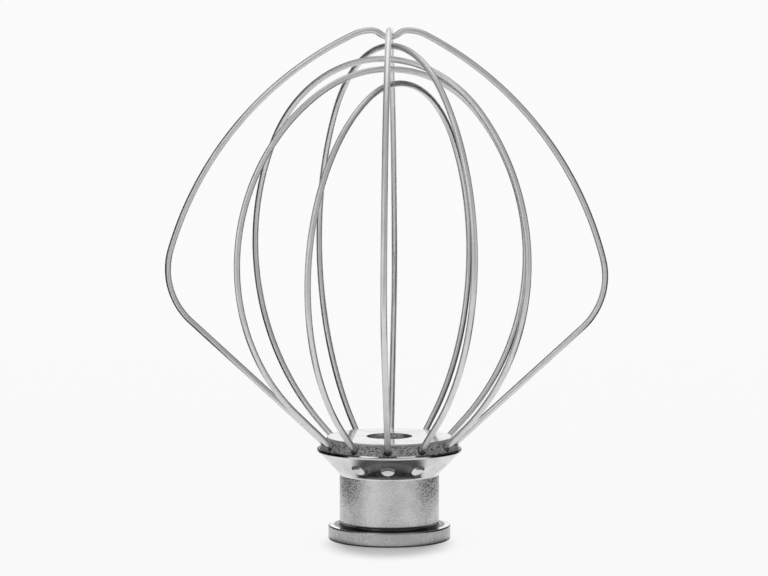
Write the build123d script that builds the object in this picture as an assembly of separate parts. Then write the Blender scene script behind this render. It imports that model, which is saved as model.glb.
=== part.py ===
from build123d import *
import os
from math import acos, atan2, cos, degrees, hypot, radians, sin, tan

# Wire whisk for a stand mixer, standing on the mouth of its shaft socket.
# One aluminium hub holds both ends of six bent steel wires.
# Millimetres, +Z up along the axis, origin at the centre of the hub's bottom face,
# +X in the plane of the outer wire that dips at its crown.

# Wire stock and the way the wires leave the hub
WIRE_D = 2.03
LOOP_COUNT = 6
SPLAY = 47.4           # angle between a wire's straight leg and the axis
SEAT_DEPTH = 8.5       # length of wire inside the hub
SEAT_CLEARANCE = 0.05  # between a wire and the top of its hole
HOLE_SLACK = 0.25      # how far a hole's axis lies below its wire, which is pressed to the hole's top

# Hub, from the bottom up
FLANGE_D = 40.0
FLANGE_H = 4.7
NECK_D = 32.6
NECK_TOP = 21.4
CONE_SPLAY = 44.0      # angle between the cone's wall and the axis
RIM_D = 47.4
RIM_LAND = 0.9         # height of the rim's upright edge
RIM_LIP = 0.8          # width of the rim's flat top
GUTTER_DEPTH = 0.6     # how far the foot of the band lies below the rim's top
GUTTER_W = 0.3
BAND_W = 2.3           # width, seen from above, of the sloping band that the wires leave
ENTRY_INSET = 1.1      # from the band's foot in to where a wire's centre line leaves it
HUB_H = 33.7

# Hub edges
FLANGE_ROUND = 0.5
NECK_ROUND = 0.9
CONE_ROUND = 1.2
RIM_ROUND = 0.3
PLATE_ROUND = 0.25

# Shaft socket: bore, relief at the plate, keyway and bayonet turn for the shaft's cross pin
SHAFT_D = 12.7
SHAFT_CLEARANCE = 0.1
RELIEF_D = 14.9
RELIEF_DEPTH = 6.5
PIN_D = 4.8
PIN_CLEARANCE = 0.2
PIN_REACH = 10.0       # from the axis to the pin's end
KEY_TOP = 15.0
TURN_ANGLE = 60.0
CATCH_DROP = 1.6       # how far the pin falls back at the end of its turn

# Dents that clinch the wires, punched into the cone below each one
STAKE_RISE = 3.3       # from the top of the neck up to a dent's centre
STAKE_D = 4.7
STAKE_DEPTH = 0.8

# Outer loops: straight legs, a knuckle, bowed sides and two crests
KNUCKLE_R = 23.0
SIDE_R = 113.7
CREST_R = 12.8
CREST_REACH = 6.0
OUTER_CROWN = 166.15   # height of the crests' centre line
CROSSING_GAP = 0.12    # air between the two outer loops where they cross
DIPPED_LEG_PLUS = 56.1   # on the +X side
DIPPED_LEG_MINUS = 58.9
PLAIN_LEG = 56.35

# Inner loops by their place in the ring, each length as a share of the cage's height: the crown's
# drop below the outer crown, its radius and its shift along the loop's plane, and the two straight
# legs, the first on the side of the loop's own angle
INNER_LOOPS = {
    1: dict(drop=0.093, radius=0.336, shift=-0.005, legs=(0.070, 0.127)),
    2: dict(drop=0.129, radius=0.306, shift=0.042, legs=(0.069, 0.067)),
    4: dict(drop=0.037, radius=0.340, shift=-0.013, legs=(0.002, 0.102)),
    5: dict(drop=0.069, radius=0.351, shift=0.014, legs=(0.047, 0.064)),
}
DIPPED_PLACE = 0
PLAIN_PLACE = 3

# Sizes that follow from those above
WIRE_R = WIRE_D / 2
FLANGE_R = FLANGE_D / 2
NECK_R = NECK_D / 2
RIM_R = RIM_D / 2
BORE_R = SHAFT_D / 2 + SHAFT_CLEARANCE
RELIEF_R = RELIEF_D / 2
LOOP_STEP = 180 / LOOP_COUNT
RIM_Z = NECK_TOP + (RIM_R - NECK_R) / tan(radians(CONE_SPLAY))
RIM_TOP = RIM_Z + RIM_LAND
FOOT_R = RIM_R - RIM_LIP - GUTTER_W
FOOT_Z = RIM_TOP - GUTTER_DEPTH
PLATE_R = FOOT_R - BAND_W
ENTRY_R = FOOT_R - ENTRY_INSET
ENTRY_Z = FOOT_Z + ENTRY_INSET * (HUB_H - FOOT_Z) / BAND_W
CAGE_H = OUTER_CROWN - ENTRY_Z


def polar(centre, radius, angle):
    """The point at an angle, in degrees, on a circle in the (radius, height) plane."""
    return (centre[0] + radius * cos(radians(angle)), centre[1] + radius * sin(radians(angle)))


def bearing(start, end):
    """The angle, in degrees, of the line between two (radius, height) points."""
    return degrees(atan2(end[1] - start[1], end[0] - start[0]))


def along_leg(length):
    """The point of a leg's centre line at a length above its entry into the hub."""
    return (ENTRY_R + length * sin(radians(SPLAY)), ENTRY_Z + length * cos(radians(SPLAY)))


def round_corner(outline, point, radius):
    """Round the corner of an outline that lies at a point."""
    vertex = outline.vertices().sort_by_distance((*point, 0))[0]
    return fillet([vertex], radius)


def hub_blank():
    """The turned shape of the hub: flange, neck, cone, rim, sloping band, plate and bore."""
    relief_z = HUB_H - RELIEF_DEPTH
    points = [
        (BORE_R, 0),
        (FLANGE_R, 0),
        (FLANGE_R, FLANGE_H),
        (NECK_R, FLANGE_H),
        (NECK_R, NECK_TOP),
        (RIM_R, RIM_Z),
        (RIM_R, RIM_TOP),
        (RIM_R - RIM_LIP, RIM_TOP),
        (FOOT_R, FOOT_Z),
        (PLATE_R, HUB_H),
        (RELIEF_R, HUB_H),
        (RELIEF_R, relief_z),
        (BORE_R, relief_z),
    ]
    outline = make_face(Polyline(*points, close=True))
    rounds = [
        ((FLANGE_R, FLANGE_H), FLANGE_ROUND),
        ((FLANGE_R, 0), FLANGE_ROUND),
        ((NECK_R, FLANGE_H), NECK_ROUND),
        ((NECK_R, NECK_TOP), CONE_ROUND),
        ((RIM_R, RIM_Z), RIM_ROUND),
        ((RIM_R, RIM_TOP), RIM_ROUND),
        ((PLATE_R, HUB_H), PLATE_ROUND),
    ]
    for point, radius in rounds:
        outline = round_corner(outline, point, radius)
    return revolve(Plane.XZ * outline, Axis.Z)


def wire_holes():
    """The blind holes that take the wire ends, one for each leg, with a gap left below the wire."""
    bottom = polar(along_leg(-SEAT_DEPTH), HOLE_SLACK, -SPLAY)
    direction = (sin(radians(SPLAY)), 0, cos(radians(SPLAY)))
    drill = Plane(origin=(bottom[0], 0, bottom[1]), z_dir=direction)
    length = SEAT_DEPTH + PLATE_R
    radius = WIRE_R + SEAT_CLEARANCE + HOLE_SLACK
    hole = drill * Cylinder(radius, length, align=(Align.CENTER, Align.CENTER, Align.MIN))
    return [Rot(Z=LOOP_STEP * leg) * hole for leg in range(2 * LOOP_COUNT)]


def stake_dents():
    """The round dents in the cone, one below each wire."""
    mouth_r = STAKE_D / 2
    ball_r = (mouth_r**2 + STAKE_DEPTH**2) / (2 * STAKE_DEPTH)
    surface_r = NECK_R + STAKE_RISE * tan(radians(CONE_SPLAY))
    surface_z = NECK_TOP + STAKE_RISE
    lift = ball_r - STAKE_DEPTH
    centre = (surface_r + lift * cos(radians(CONE_SPLAY)), 0, surface_z - lift * sin(radians(CONE_SPLAY)))
    ball = Pos(*centre) * Sphere(ball_r)
    return [Rot(Z=LOOP_STEP * leg) * ball for leg in range(2 * LOOP_COUNT)]


def bayonet_slot():
    """The way of the shaft's cross pin: up the keyway, round a turn and back into its catch."""
    width = PIN_D + 2 * PIN_CLEARANCE
    reach = PIN_REACH + PIN_CLEARANCE
    low = (Align.MIN, Align.CENTER, Align.MIN)
    keyway = Box(reach, width, KEY_TOP, align=low)
    ring = Pos(Z=KEY_TOP - width) * Cylinder(
        reach, width, arc_size=TURN_ANGLE, align=(Align.NONE, Align.NONE, Align.MIN)
    )
    catch_z = KEY_TOP - width - CATCH_DROP
    catch = Rot(Z=TURN_ANGLE) * Pos(Z=catch_z) * Box(reach, width, KEY_TOP - catch_z, align=low)
    return keyway + ring + catch


def hub():
    """The hub: its turned shape, less the wire holes, the dents and the bayonet slot."""
    return hub_blank() - wire_holes() - stake_dents() - bayonet_slot()


def arc(centre, radius, start_angle, end_angle, side):
    """An arc of a loop's centre line, on the side (+1 or -1) of the axis that it lies."""
    angles = (start_angle, (start_angle + end_angle) / 2, end_angle)
    points = [polar(centre, radius, angle) for angle in angles]
    return ThreePointArc(*[(side * r, 0, z) for r, z in points])


def leg_line(length, side):
    """A loop's straight leg, from the bottom of its hole in the hub."""
    ends = (along_leg(-SEAT_DEPTH), along_leg(length))
    return Line(*[(side * r, 0, z) for r, z in ends])


def outer_half(length, side):
    """Half an outer loop: leg, knuckle, bowed side and the outward half of its crest.

    The side's circle touches the knuckle's and the crest's circles from outside them.
    """
    leg_end = along_leg(length)
    knuckle = polar(leg_end, KNUCKLE_R, 180 - SPLAY)
    crest = (CREST_REACH, OUTER_CROWN - CREST_R)
    to_knuckle = SIDE_R - KNUCKLE_R
    to_crest = SIDE_R - CREST_R
    span = hypot(crest[0] - knuckle[0], crest[1] - knuckle[1])
    opening = acos((span**2 + to_knuckle**2 - to_crest**2) / (2 * span * to_knuckle))
    bow = polar(knuckle, to_knuckle, bearing(knuckle, crest) + degrees(opening))
    knuckle_end = bearing(bow, knuckle)
    side_end = bearing(bow, crest)
    return [
        leg_line(length, side),
        arc(knuckle, KNUCKLE_R, -SPLAY, knuckle_end, side),
        arc(bow, SIDE_R, knuckle_end, side_end, side),
        arc(crest, CREST_R, side_end, 90, side),
    ]


def crown_dip(side):
    """Half the dip between the crests: down over the crest, then level at the axis.

    Two arcs of one radius, bent opposite ways, carry the wire down by its own thickness.
    """
    depth = WIRE_D + CROSSING_GAP
    radius = (CREST_REACH**2 + depth**2) / (4 * depth)
    turn = degrees(2 * atan2(depth, CREST_REACH))
    crest = (CREST_REACH, OUTER_CROWN - radius)
    valley = (0, OUTER_CROWN - depth + radius)
    return [
        arc(crest, radius, 90, 90 + turn, side),
        arc(valley, radius, turn - 90, -90, side),
    ]


def inner_half(loop, leg, side):
    """Half an inner loop: leg, belly and half its crown.

    The belly's radius is the one that runs smoothly from the leg into the crown's circle.
    """
    length = leg * CAGE_H
    radius = loop["radius"] * CAGE_H
    crown = (side * loop["shift"] * CAGE_H, OUTER_CROWN - loop["drop"] * CAGE_H - radius)
    leg_end = along_leg(length)
    gap = (leg_end[0] - crown[0], leg_end[1] - crown[1])
    inward = polar((0, 0), 1, 180 - SPLAY)
    toward = gap[0] * inward[0] + gap[1] * inward[1]
    belly_r = (radius**2 - gap[0] ** 2 - gap[1] ** 2) / (2 * (toward + radius))
    belly = polar(leg_end, belly_r, 180 - SPLAY)
    if belly_r > radius:
        belly_end = bearing(belly, crown)
    else:
        belly_end = bearing(crown, belly)
    return [
        leg_line(length, side),
        arc(belly, belly_r, -SPLAY, belly_end, side),
        arc(crown, radius, belly_end, 90, side),
    ]


def bend_wire(edges):
    """Round wire along a path, swept from the middle of its first straight leg's end."""
    path = Wire(edges)
    section = Plane(origin=path @ 0, z_dir=path % 0) * Circle(WIRE_R)
    return sweep(section, path=path)


def dipped_loop():
    """The outer loop that dips between its crests to pass under the other outer loop."""
    right = outer_half(DIPPED_LEG_PLUS, 1) + crown_dip(1)
    left = outer_half(DIPPED_LEG_MINUS, -1) + crown_dip(-1)
    return bend_wire(right + left)


def plain_loop():
    """The outer loop that runs straight from crest to crest."""
    right = outer_half(PLAIN_LEG, 1)
    left = outer_half(PLAIN_LEG, -1)
    crown = Line((CREST_REACH, 0, OUTER_CROWN), (-CREST_REACH, 0, OUTER_CROWN))
    return bend_wire(right + [crown] + left)


def inner_loop(loop):
    """One of the balloon-shaped loops inside the outer two."""
    right = inner_half(loop, loop["legs"][0], 1)
    left = inner_half(loop, loop["legs"][1], -1)
    return bend_wire(right + left)


def loops():
    """Every wire loop by its node name, turned to its place in the ring."""
    shapes = {DIPPED_PLACE: dipped_loop(), PLAIN_PLACE: plain_loop()}
    for place, loop in INNER_LOOPS.items():
        shapes[place] = inner_loop(loop)
    return {
        f"wire_loop_{place * LOOP_STEP:03.0f}": Rot(Z=place * LOOP_STEP) * shape
        for place, shape in sorted(shapes.items())
    }


def main():
    os.makedirs("parts", exist_ok=True)
    nodes = {"hub": hub(), **loops()}
    for name, shape in nodes.items():
        shape.label = name
        export_step(shape, f"parts/{name}.step")


main()
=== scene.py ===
from math import acos, atan2, ceil, cos, hypot, radians, sin, tau

import bpy
import numpy as np
from bpy.props import FloatProperty, FloatVectorProperty, IntProperty, PointerProperty
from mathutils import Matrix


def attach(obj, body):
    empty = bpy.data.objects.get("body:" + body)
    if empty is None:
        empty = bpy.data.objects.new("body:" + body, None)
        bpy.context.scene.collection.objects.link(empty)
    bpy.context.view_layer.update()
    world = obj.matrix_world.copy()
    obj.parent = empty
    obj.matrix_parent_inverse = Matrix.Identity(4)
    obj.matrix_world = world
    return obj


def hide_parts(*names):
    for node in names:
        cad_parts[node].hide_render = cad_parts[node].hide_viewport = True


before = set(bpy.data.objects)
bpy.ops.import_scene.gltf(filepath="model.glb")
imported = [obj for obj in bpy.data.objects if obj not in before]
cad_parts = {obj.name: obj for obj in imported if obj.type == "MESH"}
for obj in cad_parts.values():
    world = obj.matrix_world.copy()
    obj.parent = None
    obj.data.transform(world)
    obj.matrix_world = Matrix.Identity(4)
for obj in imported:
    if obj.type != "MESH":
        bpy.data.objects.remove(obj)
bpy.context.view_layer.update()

bl_info = {
    "name": "Mixer Whisk Finish",
    "version": (1, 0, 0),
    "blender": (4, 5, 0),
    "location": "View3D > Sidebar > Whisk",
    "description": "Draws the wires of a stand mixer whisk, finishes its hub and sets its studio",
    "category": "Object",
}

MM = 0.001
# The planes of the loops, in degrees round the axis.
DIPPED_LOOP = 0
PLAIN_LOOP = 90
INNER_LOOPS = (30, 60, 120, 150)
WIRE_ENDS = 2 * (2 + len(INNER_LOOPS))
# Softness of the edges between the hub's finishes.
HAIR = 0.2 * MM
# Width of the camera's sensor, in the millimetres that Blender gives it in.
SENSOR_WIDTH = 36.0


def length(name, description, default):
    """A length in metres, typed in millimetres."""
    return FloatProperty(
        name=name, description=description, default=default * MM, unit="LENGTH", precision=5
    )


def angle(name, description, default):
    """An angle, typed in degrees."""
    return FloatProperty(name=name, description=description, default=radians(default), subtype="ANGLE")


def share(name, description, default):
    """A share from 0 to 1."""
    return FloatProperty(
        name=name, description=description, default=default, min=0, max=1, subtype="FACTOR"
    )


def level(name, description, default):
    """A brightness, 1 for white."""
    return FloatProperty(name=name, description=description, default=default, min=0)


def colour(name, description, default):
    """A linear colour."""
    return FloatVectorProperty(
        name=name, description=description, default=default, size=3, min=0, max=1, subtype="COLOR"
    )


def inner_loop(turn, values):
    """The shape of an inner loop, each length as a share of the cage's height."""
    return FloatVectorProperty(
        name=f"Loop at {turn}",
        description="Crown's drop, radius and shift, leg on the loop's side, leg opposite",
        default=values,
        size=5,
        precision=3,
    )


class WhiskWires(bpy.types.PropertyGroup):
    """Sizes of the six bent wires."""

    diameter: length("Wire diameter", "Thickness of the wire", 2.03)
    splay: angle("Splay", "Angle between a straight leg and the axis", 47.4)
    entry_radius: length("Entry radius", "Radius at which a wire leaves the hub", 21.5)
    entry_height: length("Entry height", "Height at which a wire leaves the hub", 31.437)
    seat_depth: length("Seat depth", "Length of wire inside the hub", 8.5)
    knuckle_radius: length("Knuckle radius", "Bend from an outer leg into its side", 23.0)
    side_radius: length("Side radius", "Bow of an outer loop's side", 113.7)
    crest_radius: length("Crest radius", "Bend from an outer side into its crest", 12.8)
    crest_reach: length("Crest reach", "From the axis to the top of a crest", 6.0)
    outer_crown: length("Outer crown", "Height of the outer crests' centre line", 166.15)
    crossing_gap: length("Crossing gap", "Air between the outer loops where they cross", 0.12)
    dipped_leg_plus: length("Dipped leg +", "Straight leg of the dipped loop on the +X side", 56.1)
    dipped_leg_minus: length("Dipped leg -", "Straight leg of the dipped loop on the -X side", 58.9)
    plain_leg: length("Plain leg", "Straight legs of the plain outer loop", 56.35)
    loop_030: inner_loop(30, (0.093, 0.336, -0.005, 0.070, 0.127))
    loop_060: inner_loop(60, (0.129, 0.306, 0.042, 0.069, 0.067))
    loop_120: inner_loop(120, (0.037, 0.340, -0.013, 0.002, 0.102))
    loop_150: inner_loop(150, (0.069, 0.351, 0.014, 0.047, 0.064))
    ring_step: length("Ring step", "Longest step between two rings of a wire's mesh", 0.7)
    ring_turn: angle("Ring turn", "Largest turn between two rings of a wire's mesh", 4.0)
    ring_points: IntProperty(name="Ring points", description="Points round a wire", default=32, min=8)
    steel: colour("Steel", "Colour of the drawn steel", (0.77, 0.77, 0.77))
    # A painted highlight on the plain outer loop's crown: its colour, and how far down it reaches.
    rubbed: colour("Rubbed steel", "Colour of the crown that the bowl has rubbed", (0.97, 0.97, 0.97))
    highlight_drop: length("Rubbed drop", "How far the rubbed steel reaches down from the crown", 26)


class WhiskHub(bpy.types.PropertyGroup):
    """Places and colours of the hub's finishes, and of the light and shade painted on it."""

    flange_top: length("Flange top", "Height of the flange that the hub stands on", 4.7)
    flange_radius: length("Flange radius", "Radius of that flange", 20.0)
    neck_top: length("Neck top", "Height at which the neck ends", 21.4)
    neck_radius: length("Neck radius", "Radius of the neck", 16.3)
    band_foot: length("Band foot", "Height of the foot of the blasted band", 29.36)
    band_radius: length("Band radius", "Radius of the foot of the blasted band", 22.6)
    rim_radius: length("Rim radius", "Radius of the rim", 23.7)
    rim_top: length("Rim top", "Height of the rim's lip", 29.96)
    plate_top: length("Plate top", "Height of the plate", 33.7)
    plate_radius: length("Plate radius", "Radius of the plate", 20.3)
    relief_radius: length("Relief radius", "Radius of the hole in the plate", 7.45)
    relief_floor: length("Relief floor", "Height at which the hole in the plate narrows", 27.2)
    bright: colour("Bright metal", "Colour of the turned cone and rim", (0.66, 0.66, 0.66))
    # The shelf's bright colour, shown only at the flange's ends, is a painted reflection.
    shelf_painted_reflection: colour("Shelf", "Colour of the flange's upper face, rubbed by hands", (0.95, 0.95, 0.95))
    faced: colour("Plate", "Colour of the faced plate", (0.88, 0.88, 0.88))
    dulled: colour("Flange", "Colour of the dull flange", (0.42, 0.42, 0.42))
    blasted: colour("Neck", "Colour of the blasted neck", (0.58, 0.58, 0.58))
    band: colour("Band", "Colour of the blasted band below the plate", (0.49, 0.49, 0.49))
    cast: colour("Cast", "Colour inside the hole of the plate", (0.9, 0.9, 0.9))
    # The lip's bright colour is a painted highlight.
    rubbed: colour("Lip", "Colour of the rubbed lip of the rim", (0.95, 0.95, 0.95))
    # Colour of smudges and dark grains, and of the painted shade and painted dark reflections on the hub.
    grime_and_shade: colour("Grime", "Colour of dirt in the corners", (0.05, 0.05, 0.05))
    # Reach and rise of the painted shade in the corner between neck and flange.
    corner_reach: length("Corner reach", "How far the corner's dirt lies out from the neck", 1.7)
    corner_rise: length("Corner rise", "How far the corner's dirt climbs up the neck", 1.3)


class WhiskStage(bpy.types.PropertyGroup):
    """Camera, floor and light."""

    camera_turn: angle("Camera turn", "Turn of the camera round the axis, from the -Y side", 1.415)
    camera_distance: length("Camera distance", "From the axis to the camera", 1166.9)
    camera_height: length("Camera height", "Above the floor", 190.05)
    camera_pitch: angle("Camera pitch", "How far the camera looks down", 5.273)
    focal_length: FloatProperty(
        name="Focal length", description="On a 36 mm wide sensor", default=168.49, unit="CAMERA"
    )
    framing_shift: FloatProperty(
        name="Framing shift", description="Sideways, in image widths", default=-0.007
    )
    floor_reach: length("Floor reach", "Radius at which the floor has faded into the backdrop", 900)
    floor_glow: length("Floor reflection", "Radius of the floor that the metal reflects", 300)
    floor_tone: colour("Floor", "Colour of the floor", (0.95, 0.95, 0.95))
    floor_shine: share("Floor shine", "Reflected brightness of the lit floor", 1.0)
    foot_radius: length("Foot radius", "Radius of the shadow at the whisk's foot", 20)
    foot_shift: length("Foot shift", "How far that shadow lies towards the camera", 12)
    foot_tone: share("Foot tone", "Reflected brightness of the floor in that shadow", 0.21)
    backdrop_tone: share("Backdrop", "Brightness of the backdrop that the camera sees", 0.96)
    left_tone: share("Front left", "Reflected brightness of the room to the camera's left", 0.85)
    right_tone: share("Front right", "Reflected brightness of the room to the camera's right", 0.76)
    camera_tone: share("Camera side", "Reflected brightness round the camera", 0.34)
    key_turn: angle("Key turn", "How far the tall window stands to the camera's left", 38)
    key_width: angle("Key width", "Half the width of that window", 14)
    key_tone: level("Key tone", "Reflected brightness of that window", 1.6)
    beam_tone: level("Beam tone", "Reflected brightness of the narrow light overhead", 1.15)
    upper_front: share("Upper front", "Share of the front's brightness that is left high up", 0.7)
    upper_tone: share("Upper back", "Reflected brightness high up behind", 0.1)
    fill_tone: share("Fill", "Brightness of the soft light from all round", 0.6)
    card_tone: share("Card tone", "Brightness of the dark cards beside the whisk", 0.03)
    card_left: length("Left card", "From the axis out to the dark card on the left", 95)
    card_right: length("Right card", "From the axis out to the dark card on the right", 110)
    card_toe: length("Card toe", "Near end of the low strip before the dark cards, along Y", -55)
    card_near: length("Card near end", "Near end of the dark cards, along Y", -20)
    card_rise: length("Card rise", "Where the dark cards grow to their full height, along Y", 35)
    card_drop_left: length("Left card drop", "Where the left card drops to a low strip, along Y", 75)
    card_drop_right: length("Right card drop", "Where the right card drops to a low strip, along Y", 105)
    card_far: length("Card far end", "Far end of the dark cards, along Y", 380)
    card_foot: length("Card foot", "Height of the dark cards' lower edge", 8)
    card_low: length("Card toe height", "Height of the low strip at the near end", 45)
    card_strip: length("Card strip", "Height of the strip at the far end", 60)
    card_brow: length("Card brow", "Height above which the dark cards reach further back", 150)
    card_reach: length("Card reach", "How far they reach above that height, along Y", 130)
    card_middle: length("Card middle", "Height of the dark cards at their near end", 175)
    card_height: length("Card height", "Full height of the dark cards", 230)
    lamp_power: FloatProperty(
        name="Lamp power", description="Power of the soft lamp overhead", default=1.0, unit="POWER"
    )
    lamp_height: length("Lamp height", "Height of the soft lamp", 600)
    lamp_back: length("Lamp distance", "How far the soft lamp hangs behind the axis", 180)
    lamp_size: length("Lamp size", "Width of the soft lamp", 500)


def polar(centre, radius, turn):
    """The point at an angle on a circle in the (radius, height) plane."""
    return np.array(centre) + radius * np.array((cos(turn), sin(turn)))


def bearing(start, end):
    """The angle of the line between two (radius, height) points."""
    return atan2(end[1] - start[1], end[0] - start[0])


def line_run(wires, start, end):
    """Points of a straight run, start + t (end - start), without its last point."""
    steps = ceil(hypot(end[0] - start[0], end[1] - start[1]) / wires.ring_step)
    t = np.arange(steps)[:, None] / steps
    return np.array(start) + t * (np.array(end) - np.array(start))


def arc_run(wires, centre, radius, start, end):
    """Points of a bend, centre + radius (cos a, sin a), without its last point."""
    turn = abs(end - start)
    steps = max(ceil(turn * radius / wires.ring_step), ceil(turn / wires.ring_turn))
    a = start + (end - start) * np.arange(steps) / steps
    return np.array(centre) + radius * np.column_stack((np.cos(a), np.sin(a)))


def along_leg(wires, run):
    """The point of a leg's centre line at a length above its entry into the hub."""
    entry = (wires.entry_radius, wires.entry_height)
    return polar(entry, run, radians(90) - wires.splay)


def leg_run(wires, leg):
    """A straight leg, from the bottom of its hole in the hub."""
    return line_run(wires, along_leg(wires, -wires.seat_depth), along_leg(wires, leg))


def outer_half(wires, leg):
    """Half an outer loop: leg, knuckle, bowed side and the outward half of its crest.

    The side's circle touches the circles of knuckle and crest from outside them.
    """
    knuckle = polar(along_leg(wires, leg), wires.knuckle_radius, radians(180) - wires.splay)
    crest = (wires.crest_reach, wires.outer_crown - wires.crest_radius)
    to_knuckle = wires.side_radius - wires.knuckle_radius
    to_crest = wires.side_radius - wires.crest_radius
    span = hypot(crest[0] - knuckle[0], crest[1] - knuckle[1])
    opening = acos((span**2 + to_knuckle**2 - to_crest**2) / (2 * span * to_knuckle))
    bow = polar(knuckle, to_knuckle, bearing(knuckle, crest) + opening)
    knuckle_end = bearing(bow, knuckle)
    side_end = bearing(bow, crest)
    return [
        leg_run(wires, leg),
        arc_run(wires, knuckle, wires.knuckle_radius, -wires.splay, knuckle_end),
        arc_run(wires, bow, wires.side_radius, knuckle_end, side_end),
        arc_run(wires, crest, wires.crest_radius, side_end, radians(90)),
    ]


def crown_dip(wires):
    """Half the dip between the crests: two arcs of one radius, bent opposite ways."""
    depth = wires.diameter + wires.crossing_gap
    reach = wires.crest_reach
    radius = (reach**2 + depth**2) / (4 * depth)
    turn = 2 * atan2(depth, reach)
    crest = (reach, wires.outer_crown - radius)
    valley = (0, wires.outer_crown - depth + radius)
    return [
        arc_run(wires, crest, radius, radians(90), radians(90) + turn),
        arc_run(wires, valley, radius, turn - radians(90), radians(-90)),
    ]


def inner_half(wires, shape, leg, side):
    """Half an inner loop: leg, belly and half its crown.

    The belly's radius is the one that runs smoothly from the leg into the crown's circle.
    """
    drop, crown_share, shift = shape[:3]
    cage = wires.outer_crown - wires.entry_height
    radius = crown_share * cage
    crown = np.array((side * shift * cage, wires.outer_crown - drop * cage - radius))
    leg_end = along_leg(wires, leg * cage)
    inward = polar((0, 0), 1, radians(180) - wires.splay)
    gap = leg_end - crown
    belly_radius = (radius**2 - gap @ gap) / (2 * (gap @ inward + radius))
    belly = polar(leg_end, belly_radius, radians(180) - wires.splay)
    belly_end = bearing(belly, crown) if belly_radius > radius else bearing(crown, belly)
    return [
        leg_run(wires, leg * cage),
        arc_run(wires, belly, belly_radius, -wires.splay, belly_end),
        arc_run(wires, crown, radius, belly_end, radians(90)),
    ]


def join_halves(plus, minus, top):
    """One path from the +side's hole over the crown to the -side's hole, as (n, 2) points."""
    left = np.concatenate(minus)[::-1] * (-1, 1)
    return np.concatenate([*plus, top, left])


def outer_top(wires, half_width, drop):
    """The run across the crown between two outer halves, both ends with it."""
    height = wires.outer_crown - drop
    if half_width == 0:
        return np.array([(0, height)])
    run = line_run(wires, (half_width, height), (-half_width, height))
    return np.concatenate([run, [(-half_width, height)]])


def wire_paths(wires):
    """Each loop's centre line in its own plane, by the angle of that plane in degrees."""
    dip = wires.diameter + wires.crossing_gap
    dipped_plus = outer_half(wires, wires.dipped_leg_plus) + crown_dip(wires)
    dipped_minus = outer_half(wires, wires.dipped_leg_minus) + crown_dip(wires)
    plain = outer_half(wires, wires.plain_leg)
    paths = {
        DIPPED_LOOP: join_halves(dipped_plus, dipped_minus, outer_top(wires, 0, dip)),
        PLAIN_LOOP: join_halves(plain, plain, outer_top(wires, wires.crest_reach, 0)),
    }
    cage = wires.outer_crown - wires.entry_height
    for turn in INNER_LOOPS:
        shape = tuple(getattr(wires, f"loop_{turn:03d}"))
        plus = inner_half(wires, shape, shape[3], 1)
        minus = inner_half(wires, shape, shape[4], -1)
        top = np.array([(shape[2] * cage, wires.outer_crown - shape[0] * cage)])
        paths[turn] = join_halves(plus, minus, top)
    return paths


def wire_mesh(name, path, turn, wires):
    """A round wire along a flat path: P(s, a) = C(s) + R (cos a N(s) + sin a B).

    C is the path, N its normal in the loop's plane and B the normal of that plane, so no ring twists.
    The attribute drawn holds (cos a, sin a, s / R), which follows the wire for its drawn lines.
    The attribute rubbed fades from 1 at the plain outer loop's crown to 0 below it, and carries a painted
    highlight there.
    """
    radius = wires.diameter / 2
    count = wires.ring_points
    rings = len(path)
    out = np.array((cos(radians(turn)), sin(radians(turn)), 0))
    up = np.array((0, 0, 1))
    across = np.array((-sin(radians(turn)), cos(radians(turn)), 0))
    tangent = np.gradient(path, axis=0)
    tangent /= np.linalg.norm(tangent, axis=1)[:, None]
    normal = tangent[:, 1:] * out - tangent[:, :1] * up
    centre = path[:, :1] * out + path[:, 1:] * up
    a = tau * np.arange(count) / count
    ring = np.cos(a)[None, :, None] * normal[:, None, :] + np.sin(a)[None, :, None] * across
    points = (centre[:, None, :] + radius * ring).reshape(-1, 3)

    here = np.arange(count)
    there = np.roll(here, -1)
    base = count * np.arange(rings - 1)[:, None]
    quads = np.stack((base + here, base + there, base + count + there, base + count + here), axis=-1)
    ends = [here[::-1].tolist(), (count * (rings - 1) + here).tolist()]
    mesh = bpy.data.meshes.new(name)
    mesh.from_pydata(points.tolist(), [], quads.reshape(-1, 4).tolist() + ends)

    travel = np.concatenate([[0], np.cumsum(np.linalg.norm(np.diff(path, axis=0), axis=1))]) / radius
    drawn = np.empty((rings, count, 3))
    drawn[:, :, 0] = np.cos(a)
    drawn[:, :, 1] = np.sin(a)
    drawn[:, :, 2] = travel[:, None]
    layer = mesh.attributes.new("drawn", "FLOAT_VECTOR", "POINT")
    layer.data.foreach_set("vector", drawn.ravel())
    # Painted highlight, strongest at the plain outer loop's crown.
    reach = np.clip(1 - (wires.outer_crown - path[:, 1]) / wires.highlight_drop, 0, 1)
    rubbed = reach**2 * (3 - 2 * reach) * (turn == PLAIN_LOOP)
    layer = mesh.attributes.new("rubbed", "FLOAT", "POINT")
    layer.data.foreach_set("value", np.repeat(rubbed, count))
    mesh.polygons.foreach_set("use_smooth", np.ones(len(mesh.polygons), bool))
    mesh.update()
    return mesh


def add_object(name, mesh, material):
    """Put a mesh into the scene as an object at the origin."""
    made = bpy.data.objects.new(name, mesh)
    mesh.materials.append(material)
    bpy.context.scene.collection.objects.link(made)
    return made


def feed(tree, socket, value):
    """Fill an input with a value, or link it to another node's output."""
    if isinstance(value, bpy.types.NodeSocket):
        tree.links.new(value, socket)
    else:
        socket.default_value = value


def add_node(tree, kind, inputs=None, **settings):
    """Add a node with its settings and its inputs filled."""
    made = tree.nodes.new(kind)
    for name, value in settings.items():
        setattr(made, name, value)
    for name, value in (inputs or {}).items():
        feed(tree, made.inputs[name], value)
    return made


def calculate(tree, operation, *values):
    """The output of a Math node."""
    inputs = dict(enumerate(values))
    return add_node(tree, "ShaderNodeMath", inputs, operation=operation).outputs[0]


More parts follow.
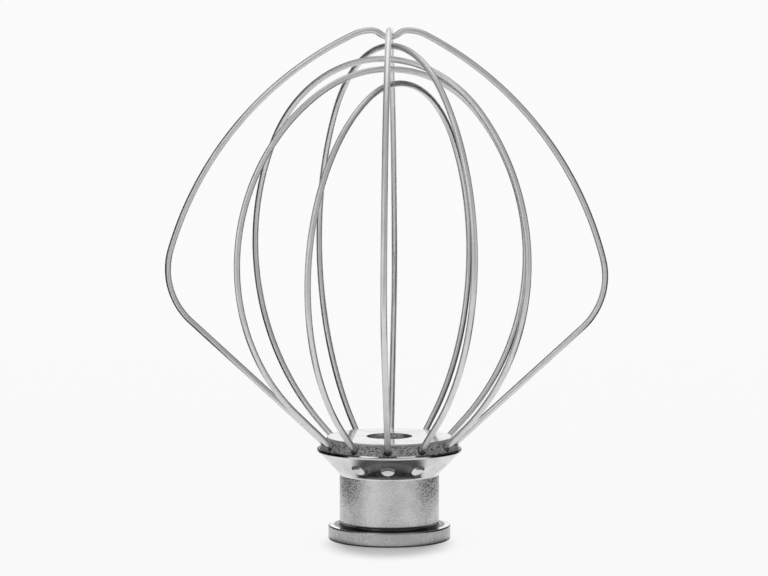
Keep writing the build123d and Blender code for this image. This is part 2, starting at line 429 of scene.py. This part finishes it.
def times(tree, first, second):
    """The product of two values."""
    return calculate(tree, "MULTIPLY", first, second)


def vector_length(tree, vector):
    """The length of a vector."""
    return add_node(tree, "ShaderNodeVectorMath", {0: vector}, operation="LENGTH").outputs["Value"]


def ease(tree, value, low, high, start=0.0, end=1.0):
    """A soft step of a value from low to high."""
    inputs = {"Value": value, "From Min": low, "From Max": high, "To Min": start, "To Max": end}
    return add_node(tree, "ShaderNodeMapRange", inputs, interpolation_type="SMOOTHSTEP").outputs["Result"]


def between(tree, value, low, high):
    """1 where a value lies between two lengths and 0 elsewhere, with soft ends."""
    rise = ease(tree, value, low - HAIR, low + HAIR)
    return times(tree, rise, ease(tree, value, high + HAIR, high - HAIR))


def blend(tree, factor, first, second):
    """The output of a Mix node between two numbers."""
    return add_node(tree, "ShaderNodeMix", {0: factor, 2: first, 3: second}).outputs[0]


def blend_colours(tree, factor, first, second):
    """The output of a Mix node between two colours."""
    return add_node(tree, "ShaderNodeMix", {0: factor, 6: first, 7: second}, data_type="RGBA").outputs[2]


def grey(value):
    """A neutral colour."""
    return (value, value, value, 1)


def new_group(name, inputs, outputs):
    """A shader node group with named sockets, its inputs' and its outputs' sockets."""
    tree = bpy.data.node_groups.new(name, "ShaderNodeTree")
    for label, kind, value in inputs:
        socket = tree.interface.new_socket(label, in_out="INPUT", socket_type=kind)
        if value is not None:
            socket.default_value = value
    for label in outputs:
        tree.interface.new_socket(label, in_out="OUTPUT", socket_type="NodeSocketFloat")
    return tree, tree.nodes.new("NodeGroupInput").outputs, tree.nodes.new("NodeGroupOutput").inputs


def fine_lines():
    """Group: fine lines, from noise on a vector that hardly changes along them."""
    name = "Fine lines"
    if name in bpy.data.node_groups:
        return bpy.data.node_groups[name]
    inputs = [("Vector", "NodeSocketVector", None), ("Scale", "NodeSocketFloat", 10.0)]
    tree, given, result = new_group(name, inputs, ["Height", "Tone"])
    noise = {"Vector": given["Vector"], "Scale": given["Scale"], "Detail": 4.0, "Roughness": 0.65}
    lines = add_node(tree, "ShaderNodeTexNoise", noise).outputs["Fac"]
    tree.links.new(lines, result["Height"])
    tree.links.new(ease(tree, lines, 0.25, 0.75), result["Tone"])
    return tree


def handling_marks():
    """Group: cloudy smudges and sparse fine nicks of a part in use, both from 0 to 1."""
    name = "Handling marks"
    if name in bpy.data.node_groups:
        return bpy.data.node_groups[name]
    inputs = [("Vector", "NodeSocketVector", None), ("Cloud scale", "NodeSocketFloat", 120.0)]
    tree, given, result = new_group(name, inputs, ["Smudge", "Nick"])
    cloud = {"Vector": given["Vector"], "Scale": given["Cloud scale"], "Detail": 5.0, "Roughness": 0.6}
    smudge = add_node(tree, "ShaderNodeTexNoise", cloud).outputs["Fac"]
    nick_scale = times(tree, given["Cloud scale"], 6.0)
    spots = {"Vector": given["Vector"], "Scale": nick_scale, "Detail": 2.0, "Roughness": 0.8}
    nick = add_node(tree, "ShaderNodeTexNoise", spots).outputs["Fac"]
    tree.links.new(ease(tree, smudge, 0.35, 0.7), result["Smudge"])
    tree.links.new(ease(tree, nick, 0.66, 0.72), result["Nick"])
    return tree


def blasted_grit():
    """Group: the grain of a blasted casting, as a bumpy height and as grains of random darkness."""
    name = "Blasted grit"
    if name in bpy.data.node_groups:
        return bpy.data.node_groups[name]
    inputs = [("Vector", "NodeSocketVector", None), ("Scale", "NodeSocketFloat", 2200.0)]
    tree, given, result = new_group(name, inputs, ["Height", "Grain"])
    bumps = {"Vector": given["Vector"], "Scale": given["Scale"], "Detail": 2.0, "Roughness": 0.6}
    height = add_node(tree, "ShaderNodeTexNoise", bumps).outputs["Fac"]
    cells = {"Vector": given["Vector"], "Scale": given["Scale"]}
    chance = add_node(tree, "ShaderNodeTexVoronoi", cells).outputs["Color"]
    grain = add_node(tree, "ShaderNodeSeparateXYZ", {"Vector": chance}).outputs["X"]
    tree.links.new(height, result["Height"])
    tree.links.new(ease(tree, grain, 0.3, 0.9), result["Grain"])
    return tree


def use_group(tree, group, inputs):
    """Place a group in a material and give its outputs."""
    return add_node(tree, "ShaderNodeGroup", inputs, node_tree=group).outputs


def plain_material(name):
    """A material with an empty node tree, and that tree."""
    made = bpy.data.materials.new(name)
    made.use_nodes = True
    made.node_tree.nodes.clear()
    return made, made.node_tree


def new_material(name):
    """A material with a Principled shader only, its tree and that shader."""
    made, tree = plain_material(name)
    shader = add_node(tree, "ShaderNodeBsdfPrincipled")
    add_node(tree, "ShaderNodeOutputMaterial", {"Surface": shader.outputs["BSDF"]})
    return made, tree, shader


def add_bump(tree, shader, relief, depth):
    """Bend a shader's normals by a relief that is this deep."""
    inputs = {"Height": relief, "Strength": 1.0, "Distance": depth}
    bump = add_node(tree, "ShaderNodeBump", inputs)
    tree.links.new(bump.outputs["Normal"], shader.inputs["Normal"])


def drawn_steel(wires):
    """Satin steel wire: lines along it from its drawing, smudges, small nicks and a painted highlight on
    one crown.
    """
    line_stretch = 0.02
    dull_share = 0.78
    smudge_share = 0.35
    smudge_roughness = 0.06
    # The painted highlight is less metallic, so it shows nearly white.
    highlight_metal = 0.3
    smooth_line, rough_line = 0.26, 0.34
    bump_depth = 0.05 * MM

    material, tree, shader = new_material("Drawn steel")
    drawn = add_node(tree, "ShaderNodeAttribute", attribute_name="drawn").outputs["Vector"]
    along = {"Vector": drawn, "Scale": (1.0, 1.0, line_stretch)}
    stretched = add_node(tree, "ShaderNodeMapping", along).outputs[0]
    lines = use_group(tree, fine_lines(), {"Vector": stretched, "Scale": 5.0})
    place = add_node(tree, "ShaderNodeTexCoord").outputs["Object"]
    marks = use_group(tree, handling_marks(), {"Vector": place, "Cloud scale": 160.0})
    rubbed = add_node(tree, "ShaderNodeAttribute", attribute_name="rubbed").outputs["Fac"]

    steel = (*wires.steel, 1)
    dull = tuple(dull_share * part for part in wires.steel) + (1,)
    tone = blend_colours(tree, lines["Tone"], dull, steel)
    worn = blend_colours(tree, times(tree, marks["Smudge"], smudge_share), tone, dull)
    # Painted highlight over the steel at the plain outer loop's crown.
    tree.links.new(blend_colours(tree, rubbed, worn, (*wires.rubbed, 1)), shader.inputs["Base Color"])
    tree.links.new(blend(tree, rubbed, 1.0, highlight_metal), shader.inputs["Metallic"])

    satin = ease(tree, lines["Height"], 0.3, 0.7, smooth_line, rough_line)
    rough = calculate(tree, "ADD", satin, times(tree, marks["Smudge"], smudge_roughness))
    tree.links.new(rough, shader.inputs["Roughness"])
    relief = calculate(tree, "SUBTRACT", lines["Height"], marks["Nick"])
    add_bump(tree, shader, relief, bump_depth)
    return material


def hub_zones(tree, hub, radius, height):
    """Masks of the hub's finishes, by radius and height."""

    def both(first, second):
        """Where two masks hold at once."""
        return times(tree, first, second)

    # Small offsets that keep a zone off its neighbour, or carry it under its own surface.
    step = 0.3 * MM
    skin = 0.5 * MM
    line_width = 0.15 * MM
    neck, shelf_top, rim = hub.neck_radius, hub.flange_top, hub.rim_top
    wall = between(tree, radius, neck - skin, neck + skin + HAIR)
    slope = between(tree, radius, hub.plate_radius + HAIR, hub.band_radius)
    face = between(tree, radius, hub.relief_radius + HAIR, hub.plate_radius)
    corner = between(tree, radius, neck - skin, neck + hub.corner_reach)
    shelf = between(tree, radius, neck + hub.corner_reach + HAIR, hub.flange_radius - step)
    inside = ease(tree, radius, hub.relief_radius + HAIR, hub.relief_radius)
    lip = ease(tree, radius, hub.band_radius, hub.band_radius + HAIR)
    land = ease(tree, radius, hub.rim_radius - 2 * HAIR, hub.rim_radius - HAIR)
    return {
        "flange": ease(tree, height, shelf_top + 2 * HAIR, shelf_top),
        "neck": both(wall, between(tree, height, shelf_top + 4 * HAIR, hub.neck_top - step)),
        "band": both(slope, ease(tree, height, hub.band_foot - HAIR, hub.band_foot + HAIR)),
        "plate": both(face, ease(tree, height, hub.plate_top - step, hub.plate_top - HAIR / 2)),
        "shelf": both(shelf, between(tree, height, shelf_top - 2 * HAIR, shelf_top + step)),
        "relief": both(inside, ease(tree, height, hub.relief_floor, hub.relief_floor + HAIR)),
        # The lip, which takes a painted highlight, and painted shade at its holes and sides.
        "lip": both(lip, ease(tree, height, rim - step, rim - HAIR)),
        # A thin line of painted shade just under the rim's lip.
        "line": both(land, between(tree, height, rim - skin, rim - skin + line_width)),
        # The rim's upper edge, which takes a painted dark reflection at its sides.
        "edge": both(land, between(tree, height, rim - 4 * HAIR, rim - HAIR / 2)),
        # Painted shade in the corner between neck and flange.
        "corner": both(corner, between(tree, height, shelf_top - step, shelf_top + hub.corner_rise)),
    }


def zones_with_painted_light(tree, hub, axes, radius, beside):
    """The hub's zones, with the painted light that differs between its front and its sides.

    The shelf's ends take a painted reflection, the corner's painted shade is weaker there, the rim's sides
    take a painted dark reflection, and the lip takes painted shade at each wire's hole.
    """
    ends = (0.45 * hub.flange_radius, 0.75 * hub.flange_radius)
    end_shade_share = 0.45
    zones = hub_zones(tree, hub, radius, axes["Z"])
    # Painted reflection: the shelf is bright only at the flange's ends.
    zones["shelf"] = times(tree, zones["shelf"], ease(tree, beside, *ends))
    # The corner's painted shade is weaker at the flange's ends.
    zones["corner"] = times(tree, zones["corner"], ease(tree, beside, *ends, 1.0, end_shade_share))
    around = calculate(tree, "ARCTAN2", axes["Y"], axes["X"])
    hole = calculate(tree, "COSINE", times(tree, around, WIRE_ENDS))
    # Painted dark reflection on the rim's sides.
    dark_side_reflection = ease(tree, beside, 0.5 * hub.rim_radius, 0.62 * hub.rim_radius)
    # Painted shade on the lip round each wire's hole, and painted dark reflection along the rim's sides.
    zones["lip_shade"] = times(
        tree, zones["lip"], calculate(tree, "MAXIMUM", ease(tree, hole, -0.3, 0.3), dark_side_reflection)
    )
    zones["edge"] = times(tree, zones["edge"], dark_side_reflection)
    return zones


def hub_dirt_and_shade(tree, hub, axes, beside, zones, dull, smudge, grain):
    """How much dark colour covers the hub's metal: smudges, dark grains, and painted shade on the neck's
    upper sides.
    """
    smudge_share = 0.2
    open_neck_pits, shaded_neck_pits = 0.06, 0.95
    dull_grains, hole_grains, band_grains = 0.25, 0.5, 0.95
    shade_veil = 0.35
    # Painted shade on the neck's upper sides, under the cone: a dark veil and more dark grains.
    sideways = ease(tree, beside, 0.4 * hub.neck_radius, 0.85 * hub.neck_radius)
    upward = ease(tree, axes["Z"], 0.4 * hub.neck_top, 0.85 * hub.neck_top)
    upper_shade = times(tree, sideways, upward)
    neck_pits = blend(tree, upper_shade, open_neck_pits, shaded_neck_pits)
    plain = blend(tree, zones["neck"], times(tree, dull, dull_grains), neck_pits)
    speckled = blend(tree, zones["relief"], plain, hole_grains)
    pits = times(tree, grain, blend(tree, zones["band"], speckled, band_grains))
    neck_shade = times(tree, zones["neck"], times(tree, upper_shade, shade_veil))
    marked = calculate(tree, "MAXIMUM", times(tree, smudge, smudge_share), pits)
    return calculate(tree, "MAXIMUM", neck_shade, marked)


def hub_metal(hub):
    """The hub's metal: turned faces with lathe rings, a blasted neck and band, smudges, and painted light
    and shade.
    """
    neck_grit, band_grit = 2200.0, 3300.0
    plate_metal, band_metal = 0.5, 0.4
    dull_roughness, blasted_roughness, band_roughness = 0.26, 0.2, 0.55
    ring_depth, dull_depth, grit_depth = 0.015, 0.06, 0.8
    clean_roughness, smudged_roughness = 0.08, 0.16
    lip_slope = -3500.0
    bump_depth = 0.22 * MM

    material, tree, shader = new_material("Hub metal")
    place = add_node(tree, "ShaderNodeTexCoord").outputs["Object"]
    axes = add_node(tree, "ShaderNodeSeparateXYZ", {"Vector": place}).outputs
    flat = add_node(tree, "ShaderNodeCombineXYZ", {"X": axes["X"], "Y": axes["Y"]}).outputs[0]
    radius = vector_length(tree, flat)
    turned = add_node(tree, "ShaderNodeCombineXYZ", {"X": radius, "Z": axes["Z"]}).outputs[0]
    beside = calculate(tree, "ABSOLUTE", axes["X"])
    zones = zones_with_painted_light(tree, hub, axes, radius, beside)
    band = zones["band"]
    blasted = calculate(tree, "MAXIMUM", zones["neck"], zones["relief"])
    gritty = calculate(tree, "MAXIMUM", blasted, band)
    dull = times(tree, zones["flange"], calculate(tree, "SUBTRACT", 1.0, zones["shelf"]))

    grit_scale = blend(tree, band, neck_grit, band_grit)
    grit = use_group(tree, blasted_grit(), {"Vector": place, "Scale": grit_scale})
    marks = use_group(tree, handling_marks(), {"Vector": place, "Cloud scale": 140.0})
    rings = use_group(tree, fine_lines(), {"Vector": turned, "Scale": 4000.0})

    tone = (*hub.bright, 1)
    # The lip takes a painted highlight, the shelf's ends a painted reflection, the edge a painted dark
    # reflection; line, lip_shade and corner take painted shade.
    for zone, paint in (
        ("flange", hub.dulled),
        ("plate", hub.faced),
        ("shelf", hub.shelf_painted_reflection),
        ("neck", hub.blasted),
        ("band", hub.band),
        ("relief", hub.cast),
        ("lip", hub.rubbed),
        ("line", hub.grime_and_shade),
        ("edge", hub.grime_and_shade),
        ("lip_shade", hub.grime_and_shade),
        ("corner", hub.grime_and_shade),
    ):
        tone = blend_colours(tree, zones[zone], tone, (*paint, 1))
    # Smudges and grains, with painted shade on the neck's upper sides.
    dirt_and_shade = hub_dirt_and_shade(tree, hub, axes, beside, zones, dull, marks["Smudge"], grit["Grain"])
    worn = blend_colours(tree, dirt_and_shade, tone, (*hub.grime_and_shade, 1))
    tree.links.new(worn, shader.inputs["Base Color"])
    metal = blend(tree, zones["plate"], 1.0, plate_metal)
    tree.links.new(blend(tree, band, metal, band_metal), shader.inputs["Metallic"])

    smooth = ease(tree, marks["Smudge"], 0.0, 1.0, clean_roughness, smudged_roughness)
    satin = blend(tree, dull, smooth, dull_roughness)
    rough = blend(tree, blasted, satin, blasted_roughness)
    tree.links.new(blend(tree, band, rough, band_roughness), shader.inputs["Roughness"])

    ring_relief = times(tree, rings["Height"], ring_depth)
    plain_relief = blend(tree, dull, ring_relief, times(tree, grit["Height"], dull_depth))
    rough_relief = blend(tree, gritty, plain_relief, times(tree, grit["Height"], grit_depth))
    relief = blend(tree, zones["lip"], rough_relief, times(tree, radius, lip_slope))
    add_bump(tree, shader, relief, bump_depth)
    return material


def off_centre(tree, place, shift, squeeze):
    """Distance on the floor from a point that lies towards the camera by shift, squeezed to an oval."""
    moved = add_node(tree, "ShaderNodeVectorMath", {0: place, 1: (0, shift, 0)}).outputs["Vector"]
    oval = add_node(tree, "ShaderNodeMapping", {"Vector": moved, "Scale": squeeze}).outputs[0]
    return vector_length(tree, oval)


def seamless_floor(stage):
    """A pale floor that keeps the shadow, fades into the backdrop and ends early in reflections.

    The camera sees it lift to the backdrop's white round the foot's shadow. The metal sees it white
    too, with a dark contact zone at the foot.
    """
    slim = (1.5, 1, 1)
    shallow = (1, 1.5, 1)
    most_lift = 0.95

    material, tree = plain_material("Seamless floor")
    place = add_node(tree, "ShaderNodeTexCoord").outputs["Object"]
    radius = vector_length(tree, place)
    rays = add_node(tree, "ShaderNodeLightPath").outputs
    mirrored = rays["Is Glossy Ray"]
    wide = ease(tree, radius, stage.floor_reach, 0.1 * stage.floor_reach)
    near = ease(tree, radius, 1.5 * stage.floor_glow, 0.6 * stage.floor_glow)
    cover = blend(tree, mirrored, wide, near)

    off_shade = off_centre(tree, place, stage.foot_shift, slim)
    off_foot = off_centre(tree, place, 0.6 * stage.foot_shift, shallow)
    foot = ease(tree, off_foot, stage.foot_radius, 1.4 * stage.foot_radius)
    deep = times(tree, mirrored, calculate(tree, "SUBTRACT", 1.0, foot))
    tone = blend_colours(tree, deep, (*stage.floor_tone, 1), grey(stage.foot_tone))
    paper = add_node(tree, "ShaderNodeBsdfDiffuse", {"Color": tone}).outputs[0]
    glow = blend_colours(tree, mirrored, grey(stage.backdrop_tone), grey(stage.floor_shine))
    white = add_node(tree, "ShaderNodeEmission", {"Color": glow, "Strength": 1.0}).outputs[0]
    faded = ease(tree, off_shade, 0.9 * stage.foot_radius, 1.8 * stage.foot_radius, 0.0, most_lift)
    shown = times(tree, rays["Is Camera Ray"], faded)
    lift = calculate(tree, "MAXIMUM", shown, times(tree, mirrored, foot))
    lit = add_node(tree, "ShaderNodeMixShader", {0: lift, 1: paper, 2: white}).outputs[0]
    clear = add_node(tree, "ShaderNodeBsdfTransparent").outputs[0]
    faded_out = add_node(tree, "ShaderNodeMixShader", {0: cover, 1: clear, 2: lit}).outputs[0]
    add_node(tree, "ShaderNodeOutputMaterial", {"Surface": faded_out})
    return material


def rise_at(degrees):
    """The upward part of a direction at an angle above the horizon."""
    return sin(radians(degrees))


def part_along(tree, direction, axis):
    """The part of a direction that lies along an axis."""
    inputs = {0: direction, 1: axis}
    return add_node(tree, "ShaderNodeVectorMath", inputs, operation="DOT_PRODUCT").outputs["Value"]


def studio_tent(tree, stage, front, right, rise):
    """What the metal sees round it: a white back, a grey front, a dark spot at the camera, darker above."""
    left_to_right = ease(tree, right, -0.6, 0.2)
    camera_spot = ease(tree, front, 0.93, 0.985)
    off_back = ease(tree, front, -0.7, -0.2)
    off_upper_back = ease(tree, front, -0.6, -0.2)
    over_walls = ease(tree, rise, rise_at(12), rise_at(22))
    sides = blend_colours(tree, left_to_right, grey(stage.left_tone), grey(stage.right_tone))
    room = blend_colours(tree, camera_spot, sides, grey(stage.camera_tone))
    walls = blend_colours(tree, off_back, grey(1.0), room)
    over = blend_colours(tree, stage.upper_front, grey(0.0), room)
    upper = blend_colours(tree, off_upper_back, grey(stage.upper_tone), over)
    return blend_colours(tree, over_walls, walls, upper)


def tall_window(tree, stage, front, right, rise):
    """Mask of a tall window at the camera's left, which draws the streak along the front wires."""
    around = calculate(tree, "ADD", calculate(tree, "ARCTAN2", right, front), stage.key_turn)
    aside = ease(tree, calculate(tree, "ABSOLUTE", around), stage.key_width, 0.4 * stage.key_width)
    sill = ease(tree, rise, rise_at(2), rise_at(18))
    head = ease(tree, rise, rise_at(66), rise_at(50))
    return times(tree, aside, times(tree, sill, head))


def narrow_beam(tree, front, right, rise):
    """Mask of a narrow light overhead and behind, which lights the crown of the plain outer wire."""
    middle = ease(tree, calculate(tree, "ABSOLUTE", right), 0.55, 0.2)
    behind = ease(tree, front, 0.1, -0.1)
    return times(tree, times(tree, middle, behind), ease(tree, rise, 0.55, 0.75))


def studio_world(stage):
    """A studio tent: a white backdrop for the camera, plain soft light, and walls for the metal."""
    world = bpy.data.worlds.new("Studio tent")
    world.use_nodes = True
    tree = world.node_tree
    tree.nodes.clear()
    direction = add_node(tree, "ShaderNodeTexCoord").outputs["Generated"]
    rise = add_node(tree, "ShaderNodeSeparateXYZ", {"Vector": direction}).outputs["Z"]
    turn = stage.camera_turn
    front = part_along(tree, direction, (sin(turn), -cos(turn), 0))
    right = part_along(tree, direction, (cos(turn), sin(turn), 0))
    tent = studio_tent(tree, stage, front, right, rise)
    pane = tall_window(tree, stage, front, right, rise)
    window = blend_colours(tree, pane, tent, grey(stage.key_tone))
    beam = narrow_beam(tree, front, right, rise)
    mirrored = blend_colours(tree, beam, window, grey(stage.beam_tone))
    rays = add_node(tree, "ShaderNodeLightPath").outputs
    soft = blend_colours(tree, rays["Is Glossy Ray"], grey(stage.fill_tone), mirrored)
    seen = blend_colours(tree, rays["Is Camera Ray"], soft, grey(stage.backdrop_tone))
    shader = add_node(tree, "ShaderNodeBackground", {"Color": seen, "Strength": 1.0}).outputs[0]
    add_node(tree, "ShaderNodeOutputWorld", {"Surface": shader})
    return world


def dark_card(name, x, drop, stage, material):
    """An upright card beside the whisk, seen only in the metal's reflections."""
    outline = (
        (stage.card_toe, stage.card_foot),
        (stage.card_far, stage.card_foot),
        (stage.card_far, stage.card_strip),
        (drop, stage.card_strip),
        (drop, stage.card_brow),
        (stage.card_reach, stage.card_brow),
        (stage.card_reach, stage.card_height),
        (stage.card_rise, stage.card_height),
        (stage.card_rise, stage.card_middle),
        (stage.card_near, stage.card_middle),
        (stage.card_near, stage.card_low),
        (stage.card_toe, stage.card_low),
    )
    mesh = bpy.data.meshes.new(name)
    mesh.from_pydata([(x, *corner) for corner in outline], [], [tuple(range(len(outline)))])
    card = add_object(name, mesh, material)
    card.visible_camera = False
    card.visible_diffuse = False
    card.visible_shadow = False


def soft_lamp(stage):
    """A square lamp overhead, a little behind the whisk and turned to its foot."""
    light = bpy.data.lights.new("soft lamp", "AREA")
    light.energy = stage.lamp_power
    light.size = stage.lamp_size
    lamp = bpy.data.objects.new("soft lamp", light)
    lamp.location = (0, stage.lamp_back, stage.lamp_height)
    lamp.rotation_euler = (-atan2(stage.lamp_back, stage.lamp_height), 0, 0)
    lamp.visible_camera = False
    lamp.visible_glossy = False
    bpy.context.scene.collection.objects.link(lamp)


def card_paint(stage):
    """Flat dark paint of the cards."""
    material, tree = plain_material("Dark card")
    paint = {"Color": grey(stage.card_tone), "Strength": 1.0}
    glow = add_node(tree, "ShaderNodeEmission", paint).outputs[0]
    add_node(tree, "ShaderNodeOutputMaterial", {"Surface": glow})
    return material


class WHISK_OT_draw_wires(bpy.types.Operator):
    """Draw the six bent wires as smooth rods in drawn steel"""

    bl_idname = "whisk.draw_wires"
    bl_label = "Draw Wires"

    def execute(self, context):
        wires = context.scene.whisk_wires
        material = drawn_steel(wires)
        for turn, path in wire_paths(wires).items():
            node = f"wire_loop_{turn:03d}"
            wire = add_object(f"drawn_wire_{turn:03d}", wire_mesh(node, path, turn, wires), material)
            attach(wire, "root")
            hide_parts(node)
        return {"FINISHED"}


class WHISK_OT_finish_hub(bpy.types.Operator):
    """Give the hub its turned and blasted metal"""

    bl_idname = "whisk.finish_hub"
    bl_label = "Finish Hub"

    def execute(self, context):
        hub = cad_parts["hub"]
        hub.data.materials.clear()
        hub.data.materials.append(hub_metal(context.scene.whisk_hub))
        return {"FINISHED"}


class WHISK_OT_set_stage(bpy.types.Operator):
    """Set the floor, the studio light and the camera"""

    bl_idname = "whisk.set_stage"
    bl_label = "Set Stage"

    def execute(self, context):
        scene = context.scene
        stage = scene.whisk_stage
        reach = stage.floor_reach
        corners = [(-reach, -reach, 0), (reach, -reach, 0), (reach, reach, 0), (-reach, reach, 0)]
        mesh = bpy.data.meshes.new("floor")
        mesh.from_pydata(corners, [], [(0, 1, 2, 3)])
        add_object("floor", mesh, seamless_floor(stage))
        paint = card_paint(stage)
        dark_card("card_left", -stage.card_left, stage.card_drop_left, stage, paint)
        dark_card("card_right", stage.card_right, stage.card_drop_right, stage, paint)
        soft_lamp(stage)
        scene.world = studio_world(stage)

        lens = bpy.data.cameras.new("camera")
        lens.sensor_width = SENSOR_WIDTH
        lens.lens = stage.focal_length
        lens.shift_x = stage.framing_shift
        camera = bpy.data.objects.new("camera", lens)
        turn = stage.camera_turn
        camera.location = (
            stage.camera_distance * sin(turn),
            -stage.camera_distance * cos(turn),
            stage.camera_height,
        )
        camera.rotation_euler = (radians(90) - stage.camera_pitch, 0, turn)
        scene.collection.objects.link(camera)
        scene.camera = camera
        scene.view_settings.view_transform = "Standard"
        return {"FINISHED"}


class WHISK_PT_finish(bpy.types.Panel):
    """Sizes, colours and steps of the whisk's finish"""

    bl_idname = "WHISK_PT_finish"
    bl_label = "Mixer Whisk"
    bl_space_type = "VIEW_3D"
    bl_region_type = "UI"
    bl_category = "Whisk"

    def draw(self, context):
        steps = {
            "whisk_wires": "whisk.draw_wires",
            "whisk_hub": "whisk.finish_hub",
            "whisk_stage": "whisk.set_stage",
        }
        for group, step in steps.items():
            box = self.layout.box()
            settings = getattr(context.scene, group)
            for name in settings.__annotations__:
                box.prop(settings, name)
            box.operator(step)


CLASSES = (
    WhiskWires,
    WhiskHub,
    WhiskStage,
    WHISK_OT_draw_wires,
    WHISK_OT_finish_hub,
    WHISK_OT_set_stage,
    WHISK_PT_finish,
)


def register():
    """Add the classes and their settings to Blender."""
    for made in CLASSES:
        bpy.utils.register_class(made)
    bpy.types.Scene.whisk_wires = PointerProperty(type=WhiskWires)
    bpy.types.Scene.whisk_hub = PointerProperty(type=WhiskHub)
    bpy.types.Scene.whisk_stage = PointerProperty(type=WhiskStage)


def unregister():
    """Take the settings and the classes out again."""
    del bpy.types.Scene.whisk_stage
    del bpy.types.Scene.whisk_hub
    del bpy.types.Scene.whisk_wires
    for made in reversed(CLASSES):
        bpy.utils.unregister_class(made)


def main():
    """Build the whisk's looks."""
    register()
    bpy.ops.whisk.draw_wires()
    bpy.ops.whisk.finish_hub()
    bpy.ops.whisk.set_stage()


if __name__ == "__main__":
    main()
